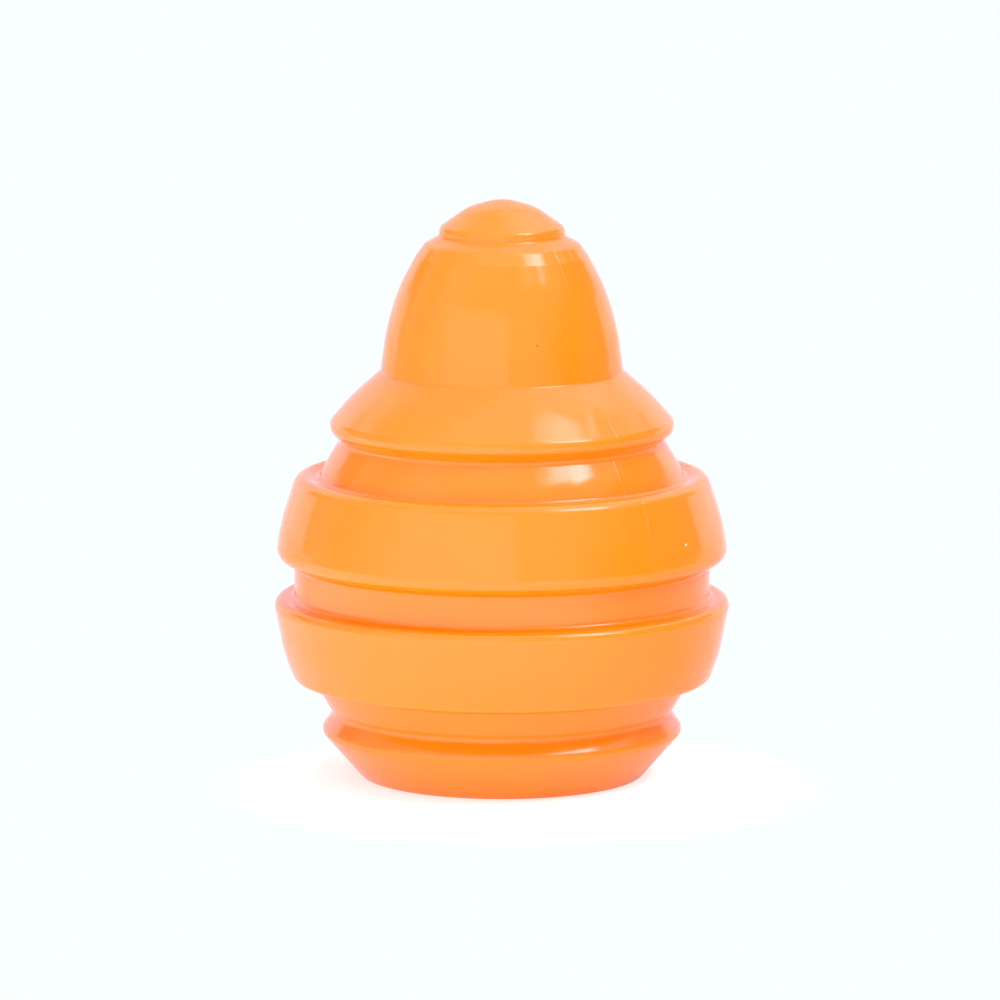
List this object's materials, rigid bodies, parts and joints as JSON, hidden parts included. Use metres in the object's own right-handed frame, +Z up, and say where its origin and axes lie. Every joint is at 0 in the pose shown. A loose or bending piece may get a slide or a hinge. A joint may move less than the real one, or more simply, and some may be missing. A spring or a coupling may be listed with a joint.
{
  "type": "rubber chew toy",
  "caption": "Hollow rubber chew toy of stacked rings that stands on its base, with a push-in plastic squeaker whose reed can bend.",
  "frame": {"origin": "centre of the flat underside that the toy stands on", "axes": "+Z up along the axis of the rings, -Y towards the pictured front and the squeaker's reed"},
  "size_m": [0.0784, 0.0784, 0.1],
  "materials": {
    "orange_rubber": "glossy moulded rubber",
    "squeaker_plastic": "natural moulded plastic",
    "reed_film": "glossy film"
  },
  "bodies": {
    "toy": {"rubber_body": "orange_rubber", "squeaker_housing": "squeaker_plastic", "squeaker_cap": "squeaker_plastic", "reed_pipe": "squeaker_plastic", "reed_wedge": "squeaker_plastic"},
    "reed": {"reed": "reed_film"}
  },
  "joints": [
    {"name": "reed_bend", "type": "hinge", "parent": "toy", "child": "reed", "pos_m": [0, -0.0022, 0.0084], "axis": [1, 0, 0], "range_deg": [-2.5, 4], "stiffness_Nm_per_rad": 0.012}
  ]
}
